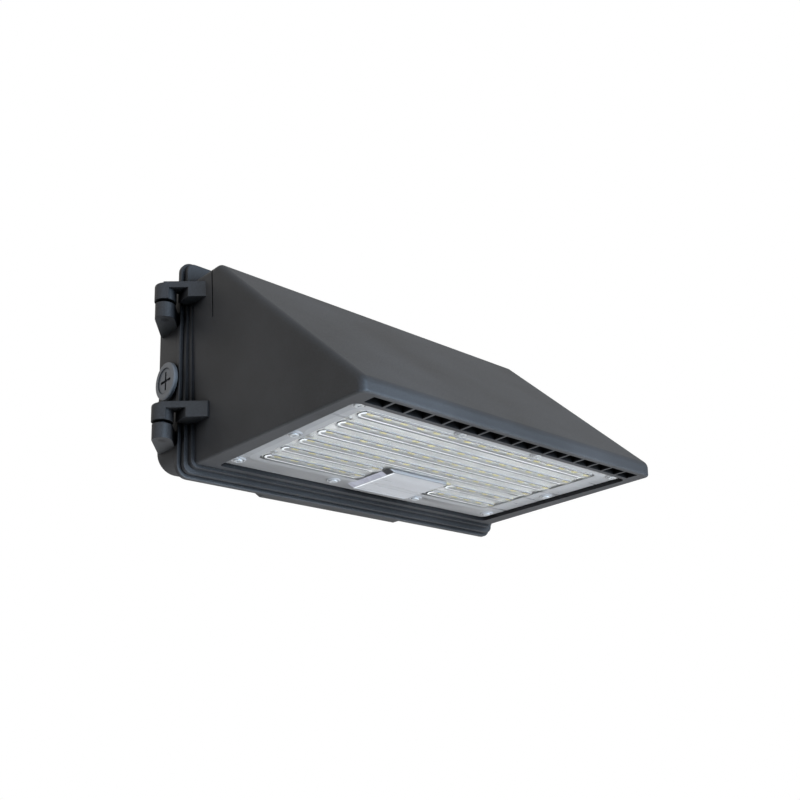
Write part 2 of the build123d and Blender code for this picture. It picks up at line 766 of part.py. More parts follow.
with BuildPart() as lens_gasket:
    with BuildSketch(Plane.XY.offset(lens_inner_z)):
        with Locations((0, -lens_middle_depth)):
            Rectangle(lens_length - 2 * lens_gasket_border, lens_width - 2 * lens_gasket_border)
        with Locations((0, -board_middle_depth)):
            Rectangle(
                board_length + 2 * (board_clearance + lens_gasket_border),
                board_width + 2 * (board_clearance + lens_gasket_border),
                mode=Mode.SUBTRACT,
            )
        with Locations(*lens_screw_points):
            Circle(lens_screw_radius + lens_hole_clearance, mode=Mode.SUBTRACT)
    extrude(amount=lens_gasket_thickness)
finish(lens_gasket.part, "lens_gasket")

lens_screw = pan_screw(lens_screw_head_radius, lens_screw_head_height, lens_screw_radius, lens_screw_length)
with BuildPart() as lens_screws:
    with Locations(*[Location((x, y, lens_outer_z), (180, 0, 0)) for x, y in lens_screw_points]):
        add(lens_screw)
finish(lens_screws.part, "lens_screws")

# LED board with its chips, screws and connector
with BuildPart() as led_board:
    with BuildSketch(Plane.XY.offset(board_under_z)):
        with Locations((0, -board_middle_depth)):
            RectangleRounded(board_length, board_width, board_corner_radius)
        with Locations(*board_screw_points):
            Circle(board_screw_radius + screw_hole_clearance, mode=Mode.SUBTRACT)
        with Locations((connector_x, -connector_depth)):
            Circle(board_wire_hole, mode=Mode.SUBTRACT)
    extrude(amount=board_thickness)
finish(led_board.part, "led_board")

with BuildPart() as led_chips:
    with Locations(*[(x, -depth, board_under_z) for depth in row_depths for x in led_positions(depth)]):
        Box(led_length, led_width, led_height, align=(Align.CENTER, Align.CENTER, Align.MAX))
finish(led_chips.part, "led_chips")

board_screw = pan_screw(
    board_screw_head_radius, board_screw_head_height, board_screw_radius, board_screw_length
)
with BuildPart() as board_screws:
    with Locations(*[Location((x, y, board_under_z), (180, 0, 0)) for x, y in board_screw_points]):
        add(board_screw)
finish(board_screws.part, "board_screws")

with BuildPart() as board_connector:
    with Locations((connector_x, -connector_depth, board_under_z)):
        Box(
            connector_length,
            connector_width,
            connector_height,
            align=(Align.CENTER, Align.CENTER, Align.MAX),
        )
    fillet(board_connector.edges().filter_by(Axis.Z), connector_round)
finish(board_connector.part, "board_connector")

# Driver and surge block on the hood's floor
with BuildPart() as driver_case:
    with Locations((driver_x, -driver_depth, floor_top_z)):
        Box(driver_length, driver_width, driver_height, align=(Align.CENTER, Align.CENTER, Align.MIN))
        fillet(driver_case.edges().filter_by(Axis.X), driver_edge_round)
        Box(
            driver_length + 2 * driver_tab_length,
            driver_tab_width,
            driver_tab_thickness,
            align=(Align.CENTER, Align.CENTER, Align.MIN),
        )
    with BuildSketch(Plane.XY.offset(floor_top_z)):
        with Locations(*driver_screw_points):
            Circle(floor_screw_radius + screw_hole_clearance)
    extrude(amount=driver_tab_thickness, mode=Mode.SUBTRACT)
finish(driver_case.part, "driver_case")

floor_screw = pan_screw(
    floor_screw_head_radius, floor_screw_head_height, floor_screw_radius, floor_screw_length
)
with BuildPart() as driver_screws:
    with Locations(*[(x, y, floor_top_z + driver_tab_thickness) for x, y in driver_screw_points]):
        add(floor_screw)
finish(driver_screws.part, "driver_screws")

with BuildPart() as surge_protector:
    with Locations((surge_x, -surge_depth, floor_top_z)):
        Box(surge_length, surge_width, surge_height, align=(Align.CENTER, Align.CENTER, Align.MIN))
        fillet(surge_protector.edges().filter_by(Axis.X), driver_edge_round)
    with Locations((surge_x + surge_length / 2, -surge_depth, floor_top_z)):
        Box(
            surge_tab_length,
            surge_width / 2,
            driver_tab_thickness,
            align=(Align.MIN, Align.CENTER, Align.MIN),
        )
    with BuildSketch(Plane.XY.offset(floor_top_z)):
        with Locations(surge_screw_point):
            Circle(floor_screw_radius + screw_hole_clearance)
    extrude(amount=driver_tab_thickness, mode=Mode.SUBTRACT)
finish(surge_protector.part, "surge_protector")

with BuildPart() as surge_screw:
    with Locations((*surge_screw_point, floor_top_z + driver_tab_thickness)):
        add(floor_screw)
finish(surge_screw.part, "surge_screw")

# Leads from the driver through a grommet in the floor to the board's connector
with BuildPart() as lead_grommet:
    with BuildSketch(Plane.XY.offset(floor_top_z)):
        with Locations((connector_x, -connector_depth)):
            Circle(grommet_radius + grommet_flange)
    extrude(amount=grommet_flange_height)
    with BuildSketch(Plane.XY.offset(floor_top_z)):
        with Locations((connector_x, -connector_depth)):
            Circle(grommet_radius - lead_clearance)
    extrude(amount=-floor_thickness)
    with BuildSketch(Plane.XY.offset(board_top_z)):
        with Locations(*[(connector_x, y) for y in lead_rows.values()]):
            Circle(lead_radius + lead_clearance)
    extrude(amount=floor_thickness + grommet_flange_height, mode=Mode.SUBTRACT)
finish(lead_grommet.part, "lead_grommet")

for lead_name, lead_y in lead_rows.items():
    lead_z = floor_top_z + lead_height
    with BuildPart() as led_lead:
        with BuildLine() as lead_path:
            FilletPolyline(
                (driver_end_x, lead_y, lead_z),
                (connector_x, lead_y, lead_z),
                (connector_x, lead_y, board_under_z),
                radius=lead_bend_radius,
            )
        with BuildSketch(Plane(origin=lead_path.line @ 0, z_dir=lead_path.line % 0)):
            Circle(lead_radius)
        sweep()
    finish(led_lead.part, f"led_lead_{lead_name}")

# Supply terminals and earth screw on the box's back wall
with BuildPart() as terminal_block:
    with Locations((terminal_x, -box_back_wall, terminal_z)):
        Box(
            terminal_length,
            terminal_thickness,
            terminal_height,
            align=(Align.CENTER, Align.MAX, Align.CENTER),
        )
    fillet(terminal_block.edges().filter_by(Axis.Y), terminal_round)
    with BuildSketch(Plane.XZ.offset(box_back_wall + terminal_thickness)):
        with Locations((terminal_x, terminal_z)):
            with GridLocations(terminal_pitch, 0, terminal_poles, 1):
                Circle(terminal_core_radius + screw_hole_clearance)
    extrude(amount=-terminal_screw_sink, mode=Mode.SUBTRACT)
finish(terminal_block.part, "terminal_block")

terminal_screw = pan_screw(
    terminal_screw_radius, terminal_screw_height, terminal_core_radius, terminal_screw_sink
)
with BuildPart() as terminal_screws:
    with Locations(Location((terminal_x, -box_back_wall - terminal_thickness, terminal_z), (90, 0, 0))):
        with GridLocations(terminal_pitch, 0, terminal_poles, 1):
            add(terminal_screw)
finish(terminal_screws.part, "terminal_screws")

with BuildPart() as ground_screw:
    with BuildSketch(Plane.XZ.offset(box_back_wall + ground_boss_height)):
        with Locations((ground_x, ground_z)):
            RegularPolygon(ground_head_radius, 6)
    extrude(amount=ground_head_height)
    with BuildSketch(Plane.XZ.offset(box_back_wall + ground_boss_height)):
        with Locations((ground_x, ground_z)):
            Circle(ground_screw_radius)
    extrude(amount=-ground_screw_length)
finish(ground_screw.part, "ground_screw")

# Captive screws that hold the hood shut
closing_screw = pan_screw(closing_head_radius, closing_head_height, closing_radius, closing_length)
for level_name, ear_level in closing_levels.items():
    with BuildPart() as closing:
        with Locations(Location((ear_x, -closing_head_depth, ear_level), (90, 0, 0))):
            add(closing_screw)
    finish(closing.part, f"closing_screw_{level_name}")
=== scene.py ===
"""Looks of the full-cutoff wall light: materials, lens detail, studio and camera.

Metres, in the part's own frame; the sizes of the lens moulding are in millimetres.
"""
from math import cos, hypot, pi, radians, sin

import bmesh
import bpy
from mathutils import Matrix, Vector


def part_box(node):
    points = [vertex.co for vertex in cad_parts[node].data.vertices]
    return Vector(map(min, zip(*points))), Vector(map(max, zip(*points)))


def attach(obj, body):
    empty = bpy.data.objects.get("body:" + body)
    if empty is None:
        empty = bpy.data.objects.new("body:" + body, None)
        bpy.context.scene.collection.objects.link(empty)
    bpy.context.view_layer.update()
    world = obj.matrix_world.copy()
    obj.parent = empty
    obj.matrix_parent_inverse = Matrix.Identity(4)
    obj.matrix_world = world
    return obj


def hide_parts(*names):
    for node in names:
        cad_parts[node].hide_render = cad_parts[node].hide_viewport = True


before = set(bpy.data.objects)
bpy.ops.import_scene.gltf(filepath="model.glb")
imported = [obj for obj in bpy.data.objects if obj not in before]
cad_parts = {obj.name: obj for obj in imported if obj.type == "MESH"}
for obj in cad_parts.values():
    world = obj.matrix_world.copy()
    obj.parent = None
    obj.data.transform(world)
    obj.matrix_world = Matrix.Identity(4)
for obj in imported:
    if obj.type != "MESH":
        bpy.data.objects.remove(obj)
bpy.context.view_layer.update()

MM = 0.001

# Camera: the photograph's point of view, angles in degrees
CAMERA_PLACE = Vector((-0.5435, -0.7113, -0.3270))
CAMERA_YAW = 43.18
CAMERA_PITCH = 12.64
CAMERA_ROLL = -1.94
CAMERA_LENS_MM = 44.894
CAMERA_SENSOR_MM = 36.0
CAMERA_SHIFT = (-0.0365, 0.1905)

# Studio: the surroundings grow brighter from the low to the high direction
FLOOR_Z = -0.9
FLOOR_RADIUS = 2.2
FLOOR_SIDES = 96
AMBIENT_COLOUR = (1.0, 0.98, 0.945, 1.0)
AMBIENT_LOW = -0.4
AMBIENT_HIGH = 0.3
AMBIENT_BELOW = 0.16
AMBIENT_ABOVE = 0.47
BACKDROP_COLOUR = (1.0, 1.0, 1.0, 1.0)
BACKDROP_STRENGTH = 1.0
# Lights: name, place, target, size, power in watts, colour, and whether it shows in reflections
LIGHTS = (
    ("front", (0.2, -2.6, -0.35), (0.0, -0.2, 0.0), 1.6, 92.0, (0.55, 0.76, 1.0), True),
    ("left", (-2.2, -0.9, 0.2), (-0.15, -0.12, 0.0), 1.5, 5.0, (0.80, 0.86, 1.0), True),
    ("right", (0.9, -1.2, -0.8), (0.0, -0.15, -0.08), 0.9, 10.0, (1.0, 1.0, 1.0), False),
    ("below", (0.15, -0.3, -0.86), (0.0, -0.14, -0.08), 0.7, 10.5, (1.0, 0.99, 0.97), False),
)

# Materials: the part of a noise's range that colours and roughness are spread over
NOISE_LOW = 0.3
NOISE_HIGH = 0.7
EDGE_SAMPLES = 4
# Painted shade in a coated piece's hollows: how far it reaches, and the openness taken as deep inside and
# as open
HOLLOW_SHADE_SAMPLES = 8
HOLLOW_SHADE_REACH = 0.028
HOLLOW_SHADE_DEEP = 0.35
HOLLOW_SHADE_OPEN = 0.82
HOLLOW_SHADE_DARKEST = 0.05
# Coat, metal and plastic: features per metre, and how much smoother and rougher the noise makes them
COAT_CLOUD_SCALE = 14.0
COAT_SPECKLE_SHARE = 0.5
COAT_SHEEN = 0.5
COAT_SMOOTHER = 0.06
COAT_ROUGHER = 0.08
METAL_SMOOTHER = 0.07
METAL_ROUGHER = 0.1
PLASTIC_CLOUD_SCALE = 40.0
PLASTIC_SMOOTHER = 0.05
PLASTIC_ROUGHER = 0.08
# Flow marks in the lens, with the shares of its roughness that they range over
FLOW_SCALE = 90.0
FLOW_STRETCH = (0.12, 1.0, 1.0)
FLOW_LEAST = 0.6
FLOW_MOST = 1.4
LENS_IOR = 1.46

# Lens moulding, in millimetres; a depth is a distance out from the wall
lens_low, lens_high = (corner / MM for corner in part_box("lens_plate"))
chips_low, chips_high = (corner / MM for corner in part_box("led_chips"))
LENS_HALF_LENGTH = lens_high.x
LENS_BACK = -lens_high.y
LENS_FRONT = -lens_low.y
LENS_CORNER = 5.0
LENS_THICKNESS = 2.0
LENS_INNER_Z = lens_high.z
LENS_OUTER_Z = LENS_INNER_Z - LENS_THICKNESS
LENS_EDGE_ROUND = 0.4
PANEL_HALF_LENGTH = 138.5
PANEL_BACK = 71.5
PANEL_FRONT = 213.2
PANEL_CORNER = 9.0
PANEL_RISE = 0.3
# Panel edge: inset from its outline and rise from the plate
PANEL_STEPS = ((0.0, 0.0), (0.3, 0.2), (0.8, PANEL_RISE))
# Clear window in the panel; on the right it ends where the view past the board's edge would begin
WINDOW_LEFT = -131.6
WINDOW_RIGHT = 125.8
WINDOW_BACK = 78.8
WINDOW_FRONT = 212.1
WINDOW_CORNER = 6.0
WINDOW_CLEARANCE = 1.2
FRAME_EDGE_POINTS = 40
FRAME_CORNER_POINTS = 8
SMOOTHING_PASSES = 3

# Bars, one over each row of chips, the back ones broken by the flat box
CHIP_WIDTH = 4.0
BAR_COUNT = 6
FIRST_ROW = CHIP_WIDTH / 2 - chips_high.y
LAST_ROW = -chips_low.y - CHIP_WIDTH / 2
ROW_PITCH = (LAST_ROW - FIRST_ROW) / (BAR_COUNT - 1)
BROKEN_ROWS = 2
BAR_LEFT = -130.5
BAR_RIGHT = 124.0
BAR_BREAK_LEFT = -32.4
BAR_BREAK_RIGHT = 41.6
BAR_HALF_WIDTH = 6.0
BAR_END_SIDES = 12
# First face on a bar's back and left, counted round from the back of its right end
BAR_BACK_START = BAR_END_SIDES + 3
# Width of the flat strip behind each bar that carries a painted shadow
SHADOW_STRIP_WIDTH = 3.6
# Bar profile: inset from its outline and rise from the panel, with the level where its painted highlight
# starts
BAR_STEPS = ((0.0, 0.0), (0.05, 0.0), (0.2, 0.55), (0.5, 0.85), (2.4, 0.92), (3.0, 0.9))
RIM_LEVEL = 3

# Flat box over the board's connector
COVER_LEFT = -24.6
COVER_RIGHT = 36.0
COVER_BACK = 64.0
COVER_FRONT = 119.6
COVER_Z = lens_low.z
COVER_CORNER = 1.6
COVER_LEAST_CORNER = 0.2
COVER_LEFT_SLOPE = 5.6
# Length of the painted shade patch at the front end of the left slope
COVER_SHADE_REACH = 9.0
# Flat box profile: inset from its outline and rise from its face
COVER_STEPS = ((0.0, -0.45), (0.5, -0.1), (1.4, 0.0), (1.8, -0.25), (2.2, -0.25))

# Lens screws, six at the sides and four between them
SCREW_SIDE = 140.0
SCREW_BACK = 66.0
SCREW_FRONT = 217.0
SCREW_MIDDLE = (SCREW_BACK + SCREW_FRONT) / 2
INNER_BACK_SCREWS = (-46.6, 46.8)
INNER_FRONT_SCREWS = (-42.0, 42.0)
SIDE_CLEARANCE = 8.6
BACK_CLEARANCE = 8.0
# Each screw: place along x, depth, and the radius that the panel's outline keeps from it, if any
LENS_SCREWS = [
    (x, depth, SIDE_CLEARANCE)
    for x in (-SCREW_SIDE, SCREW_SIDE)
    for depth in (SCREW_BACK, SCREW_MIDDLE, SCREW_FRONT)
]
LENS_SCREWS += [(x, SCREW_BACK, BACK_CLEARANCE) for x in INNER_BACK_SCREWS]
LENS_SCREWS += [(x, SCREW_FRONT, 0.0) for x in INNER_FRONT_SCREWS]
# Raised seat round each screw: radius and rise from the plate
SEAT_STEPS = ((6.4, -0.2), (6.2, 0.4), (5.7, 1.0), (5.0, 1.2), (4.5, 1.1), (4.2, 0.5), (4.1, 0.05))
SEAT_SIDES = 32


def node_tree(name):
    """New node material with its principled shader; returns the material, its tree and the shader."""
    material = bpy.data.materials.new(name)
    material.use_nodes = True
    tree = material.node_tree
    return material, tree, tree.nodes["Principled BSDF"]


def noise(tree, scale, detail, roughness=0.5, stretch=(1.0, 1.0, 1.0)):
    """Noise over the object's own coordinates, in features per metre."""
    place = tree.nodes.new("ShaderNodeTexCoord")
    mapping = tree.nodes.new("ShaderNodeMapping")
    mapping.inputs["Scale"].default_value = stretch
    texture = tree.nodes.new("ShaderNodeTexNoise")
    texture.inputs["Scale"].default_value = scale
    texture.inputs["Detail"].default_value = detail
    texture.inputs["Roughness"].default_value = roughness
    tree.links.new(place.outputs["Object"], mapping.inputs["Vector"])
    tree.links.new(mapping.outputs["Vector"], texture.inputs["Vector"])
    return texture.outputs["Fac"]


def ramp(tree, factor, low, high):
    """Colour ramp between two colours over the noise's range."""
    node = tree.nodes.new("ShaderNodeValToRGB")
    node.color_ramp.elements[0].position = NOISE_LOW
    node.color_ramp.elements[1].position = NOISE_HIGH
    node.color_ramp.elements[0].color = (*low, 1.0)
    node.color_ramp.elements[1].color = (*high, 1.0)
    tree.links.new(factor, node.inputs["Fac"])
    return node.outputs["Color"]


def span(tree, factor, low, high, start=NOISE_LOW, end=NOISE_HIGH):
    """Map part of a factor's range onto a range of numbers."""
    node = tree.nodes.new("ShaderNodeMapRange")
    node.inputs["From Min"].default_value = start
    node.inputs["From Max"].default_value = end
    node.inputs["To Min"].default_value = low
    node.inputs["To Max"].default_value = high
    tree.links.new(factor, node.inputs["Value"])
    return node.outputs["Result"]


def times(tree, value, share):
    """A value multiplied by a share."""
    node = tree.nodes.new("ShaderNodeMath")
    node.operation = "MULTIPLY"
    node.inputs[1].default_value = share
    tree.links.new(value, node.inputs[0])
    return node.outputs[0]


def roughen(tree, shader, factor, low, high):
    """Spread the shader's roughness over a range."""
    tree.links.new(span(tree, factor, low, high), shader.inputs["Roughness"])


def bump(tree, shader, height, strength, distance):
    """Bump the shader's normal by a height."""
    node = tree.nodes.new("ShaderNodeBump")
    node.inputs["Strength"].default_value = strength
    node.inputs["Distance"].default_value = distance
    tree.links.new(height, node.inputs["Height"])
    tree.links.new(node.outputs["Normal"], shader.inputs["Normal"])
    return node


def round_edges(tree, bump_node, radius):
    """Soften the shading of sharp edges by a small radius."""
    node = tree.nodes.new("ShaderNodeBevel")
    node.samples = EDGE_SAMPLES
    node.inputs["Radius"].default_value = radius
    tree.links.new(node.outputs["Normal"], bump_node.inputs["Normal"])


def painted_hollow_shade(tree):
    """Painted shade for hollows, as the share of colour kept: the darkest value deep inside, one in the
    open.
    """
    shade = tree.nodes.new("ShaderNodeAmbientOcclusion")
    shade.samples = HOLLOW_SHADE_SAMPLES
    shade.inputs["Distance"].default_value = HOLLOW_SHADE_REACH
    return span(tree, shade.outputs["AO"], HOLLOW_SHADE_DARKEST, 1.0, HOLLOW_SHADE_DEEP, HOLLOW_SHADE_OPEN)


def powder_coat(name, low, high, roughness, grain):
    """Fine-textured coat, with shade painted into the hollows of the piece it covers."""
    material, tree, shader = node_tree(name)
    speckle = noise(tree, grain, detail=3.0, roughness=0.6)
    cloud = noise(tree, COAT_CLOUD_SCALE, detail=4.0)
    blend = tree.nodes.new("ShaderNodeMath")
    blend.operation = "MULTIPLY_ADD"
    blend.inputs[1].default_value = COAT_SPECKLE_SHARE
    tree.links.new(speckle, blend.inputs[0])
    tree.links.new(times(tree, cloud, 1.0 - COAT_SPECKLE_SHARE), blend.inputs[2])
    # Painted shade: this hollow factor darkens the coat's colour, and below its specular level
    light = painted_hollow_shade(tree)
    colour = tree.nodes.new("ShaderNodeMix")
    colour.data_type = "RGBA"
    colour.blend_type = "MULTIPLY"
    colour.inputs["Factor"].default_value = 1.0
    tree.links.new(ramp(tree, blend.outputs[0], low, high), colour.inputs["A"])
    tree.links.new(light, colour.inputs["B"])
    tree.links.new(colour.outputs["Result"], shader.inputs["Base Color"])
    roughen(tree, shader, speckle, roughness - COAT_SMOOTHER, roughness + COAT_ROUGHER)
    # Painted shade on the coat's reflections: the specular level is lowered in hollows
    tree.links.new(times(tree, light, COAT_SHEEN), shader.inputs["Specular IOR Level"])
    texture = bump(tree, shader, speckle, strength=0.6, distance=0.00016)
    round_edges(tree, texture, radius=0.0009)
    return material


def metal(name, low, high, roughness, grain, stretch=(1.0, 1.0, 1.0), metallic=1.0):
    """Plain or brushed metal with fine marks."""
    material, tree, shader = node_tree(name)
    marks = noise(tree, grain, detail=4.0, roughness=0.6, stretch=stretch)
    tree.links.new(ramp(tree, marks, low, high), shader.inputs["Base Color"])
    roughen(tree, shader, marks, roughness - METAL_SMOOTHER, roughness + METAL_ROUGHER)
    shader.inputs["Metallic"].default_value = metallic
    texture = bump(tree, shader, marks, strength=0.12, distance=0.00005)
    round_edges(tree, texture, radius=0.0003)
    return material


def plastic(name, low, high, roughness, grain):
    """Moulded plastic or rubber with a faint grain."""
    material, tree, shader = node_tree(name)
    fine = noise(tree, grain, detail=3.0)
    cloud = noise(tree, PLASTIC_CLOUD_SCALE, detail=2.0)
    tree.links.new(ramp(tree, cloud, low, high), shader.inputs["Base Color"])
    roughen(tree, shader, fine, roughness - PLASTIC_SMOOTHER, roughness + PLASTIC_ROUGHER)
    texture = bump(tree, shader, fine, strength=0.15, distance=0.00005)
    round_edges(tree, texture, radius=0.0004)
    return material


def moulding(name, low, high, roughness, clear=0.0):
    """Lens moulding with faint flow marks along its length; clear is the share of light it lets through."""
    material, tree, shader = node_tree(name)
    flow = noise(tree, FLOW_SCALE, detail=3.0, stretch=FLOW_STRETCH)
    tree.links.new(ramp(tree, flow, low, high), shader.inputs["Base Color"])
    roughen(tree, shader, flow, roughness * FLOW_LEAST, roughness * FLOW_MOST)
    shader.inputs["Transmission Weight"].default_value = clear
    shader.inputs["IOR"].default_value = LENS_IOR
    bump(tree, shader, flow, strength=0.05, distance=0.0003)
    return material


# Finishes: darkest and lightest colour, roughness, and the grain or the clearness
CASTING = powder_coat("charcoal_coat", (0.017, 0.0175, 0.019), (0.053, 0.054, 0.058), 0.47, 900.0)
PLUG = powder_coat("plug_coat", (0.175, 0.185, 0.20), (0.205, 0.215, 0.23), 0.42, 1800.0)
DARK_STEEL = metal("black_steel", (0.020, 0.021, 0.024), (0.032, 0.033, 0.037), 0.4, 900.0, metallic=0.4)
BRIGHT_STEEL = metal("stainless_steel", (0.58, 0.59, 0.60), (0.72, 0.73, 0.74), 0.28, 700.0)
SATIN_STEEL = metal("satin_steel", (0.46, 0.47, 0.48), (0.58, 0.59, 0.60), 0.45, 500.0, metallic=0.5)
RUBBER = plastic("black_rubber", (0.012, 0.012, 0.013), (0.020, 0.020, 0.021), 0.7, 1500.0)
LENS = moulding("satin_margin", (0.235, 0.24, 0.25), (0.285, 0.29, 0.30), 0.38)
LENS_CLEAR = moulding("clear_polycarbonate", (0.96, 0.97, 0.98), (0.99, 0.99, 1.0), 0.05, clear=1.0)
# Painted highlight: near-white on the bars' back rims and along the flat box's left edge
LENS_PAINTED_HIGHLIGHT = moulding("painted_highlight_edge", (0.82, 0.83, 0.84), (0.90, 0.91, 0.92), 0.3)
# Painted shadow: dark strips behind the bars and along the flat box's front foot
LENS_PAINTED_SHADOW = moulding("painted_shadow_strip", (0.09, 0.095, 0.105), (0.16, 0.165, 0.175), 0.4)
LENS_BOX = moulding("frosted_cover", (0.335, 0.34, 0.355), (0.355, 0.36, 0.375), 0.4)
LENS_SLOPE = moulding("cover_slope", (0.30, 0.30, 0.35), (0.38, 0.38, 0.43), 0.3)
# Painted shade: a near-black patch on the flat box's left slope near its front
LENS_SHADE = moulding("cover_painted_shade", (0.02, 0.02, 0.022), (0.035, 0.035, 0.04), 0.5)
BOARD = plastic("white_board", (0.80, 0.81, 0.80), (0.86, 0.87, 0.86), 0.5, 900.0)
PHOSPHOR = plastic("led_phosphor", (0.97, 0.87, 0.42), (1.0, 0.93, 0.54), 0.6, 2500.0)
NYLON = plastic("natural_nylon", (0.72, 0.70, 0.64), (0.78, 0.76, 0.70), 0.5, 900.0)
DRIVER = metal("satin_aluminium", (0.50, 0.51, 0.53), (0.62, 0.63, 0.65), 0.38, 260.0, (0.04, 1.0, 1.0))
SURGE = plastic("dark_plastic", (0.028, 0.029, 0.032), (0.040, 0.041, 0.045), 0.5, 1200.0)
LEAD_RED = plastic("red_insulation", (0.36, 0.014, 0.012), (0.42, 0.020, 0.016), 0.45, 1200.0)
LEAD_BLACK = plastic("black_insulation", (0.012, 0.012, 0.013), (0.018, 0.018, 0.019), 0.45, 1200.0)
BRASS = metal("brass", (0.52, 0.36, 0.12), (0.64, 0.46, 0.18), 0.32, 800.0)
GREEN = powder_coat("green_screw", (0.028, 0.17, 0.045), (0.036, 0.22, 0.058), 0.4, 1500.0)
FLOOR = plastic("pale_floor", (0.84, 0.84, 0.84), (0.88, 0.88, 0.88), 0.6, 60.0)

# Slots of the lens moulding, in the order of its finishes
LENS_FINISHES = (LENS, LENS_CLEAR, LENS_PAINTED_HIGHLIGHT, LENS_PAINTED_SHADOW, LENS_BOX, LENS_SLOPE, LENS_SHADE)
PLATE_SLOT, CLEAR_SLOT, HIGHLIGHT_SLOT, SHADOW_SLOT, BOX_SLOT, SLOPE_SLOT, SHADE_SLOT = range(len(LENS_FINISHES))

FINISHES = {
    LENS: ("lens_plate",),
    CASTING: ("back_box", "front_housing"),
    PLUG: ("conduit_plug_left", "conduit_plug_right"),
    DARK_STEEL: ("hinge_pin_upper", "hinge_pin_lower", "closing_screw_upper", "closing_screw_lower"),
    SATIN_STEEL: ("lens_screws",),
    BRIGHT_STEEL: ("board_screws", "driver_screws", "surge_screw"),
    RUBBER: ("box_gasket", "plug_seal_left", "plug_seal_right", "lens_gasket", "lead_grommet"),
    BOARD: ("led_board",),
    PHOSPHOR: ("led_chips",),
    NYLON: ("board_connector", "terminal_block"),
    DRIVER: ("driver_case",),
    SURGE: ("surge_protector",),
    LEAD_RED: ("led_lead_plus",),
    LEAD_BLACK: ("led_lead_minus",),
    BRASS: ("terminal_screws",),
    GREEN: ("ground_screw",),
}
for finish, names in FINISHES.items():
    for name in names:
        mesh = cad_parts[name].data
        mesh.materials.clear()
        mesh.materials.append(finish)


def rounded_frame(x0, x1, near, far, radius):
    """Closed outline of a rounded rectangle from x0 to x1 and from near to far from the wall."""
    points = []
    corners = ((x1, far, 0), (x0, far, 90), (x0, near, 180), (x1, near, 270))
    for (cx, cd, start), (nx, nd, _) in zip(corners, corners[1:] + corners[:1]):
        ox = cx + (-radius if cx == x1 else radius)
        od = cd + (-radius if cd == far else radius)
        for i in range(FRAME_CORNER_POINTS):
            turn = radians(start + 90 * i / (FRAME_CORNER_POINTS - 1))
            points.append((ox + radius * cos(turn), od + radius * sin(turn)))
        px, pd = points[-1]
        qx = nx + (0 if cd != nd else (-radius if nx == x1 else radius))
        qd = nd + (0 if cx != nx else (-radius if nd == far else radius))
        shares = [i / FRAME_EDGE_POINTS for i in range(1, FRAME_EDGE_POINTS)]
        points += [(px + (qx - px) * share, pd + (qd - pd) * share) for share in shares]
    return points


def inset(points, amount):
    """Outline moved inward along its normals."""
    moved = []
    for i, (x, d) in enumerate(points):
        (ax, ad), (bx, bd) = points[i - 1], points[(i + 1) % len(points)]
        length = hypot(bx - ax, bd - ad)
        moved.append((x - amount * (bd - ad) / length, d + amount * (bx - ax) / length))
    return moved


def keep_clear(points, extra=0.0):
    """Outline pushed away from the lens screws and smoothed."""
    for cx, cd, clearance in LENS_SCREWS:
        radius = clearance + extra if clearance else 0.0
        pushed = []
        for x, d in points:
            gap = hypot(x - cx, d - cd)
            share = radius / gap if gap < radius else 1.0
            pushed.append((cx + (x - cx) * share, cd + (d - cd) * share))
        points = pushed
    for _ in range(SMOOTHING_PASSES):
        points = [
            (
                (points[i - 1][0] + 2 * x + points[(i + 1) % len(points)][0]) / 4,
                (points[i - 1][1] + 2 * d + points[(i + 1) % len(points)][1]) / 4,
            )
            for i, (x, d) in enumerate(points)
        ]
    return points


def capsule(x0, x1, depth, step):
    """Outline of a bar with round ends, set in by a step."""
    points = []
    reach = BAR_HALF_WIDTH - step
    for centre, start in ((x1 - BAR_HALF_WIDTH, -90), (x0 + BAR_HALF_WIDTH, 90)):
        for i in range(BAR_END_SIDES + 1):
            turn = radians(start + 180 * i / BAR_END_SIDES)
            points.append((centre + reach * cos(turn), depth + reach * sin(turn)))
    return points


def cover_outline(step):
    """Outline of the flat box's face, set in by a step with its corners kept round."""
    return rounded_frame(
        COVER_LEFT + step, COVER_RIGHT - step, COVER_BACK + step, COVER_FRONT - step,
        max(COVER_CORNER - step, COVER_LEAST_CORNER),
    )


def ring(mesh, points, z):
    """Vertices of one closed outline at a height."""
    return [mesh.verts.new((x * MM, -d * MM, z * MM)) for x, d in points]


def band(mesh, lower, upper, slot, places=None):
    """Faces between two rings of equal length in one slot, or in a place's own slot where it has one."""
    places = places or {}
    for i in range(len(lower)):
        j = (i + 1) % len(lower)
        face = mesh.faces.new((lower[i], lower[j], upper[j], upper[i]))
        face.material_index = places.get(i, slot)
        face.smooth = True


def skin(mesh, rings, slot):
    """Bands of one slot over successive rings."""
    for lower, upper in zip(rings, rings[1:]):
        band(mesh, lower, upper, slot)


def cap(mesh, outline, slot, holes=()):
    """Flat face over a ring, with holes where other rings rise from it."""
    if not holes:
        mesh.faces.new(outline).material_index = slot
        return
    edges = [
        mesh.edges.get((loop[i - 1], loop[i])) or mesh.edges.new((loop[i - 1], loop[i]))
        for loop in (outline, *holes)
        for i in range(len(loop))
    ]
    made = bmesh.ops.triangle_fill(mesh, use_beauty=True, edges=edges)
    for item in made["geom"]:
        if isinstance(item, bmesh.types.BMFace):
            item.material_index = slot


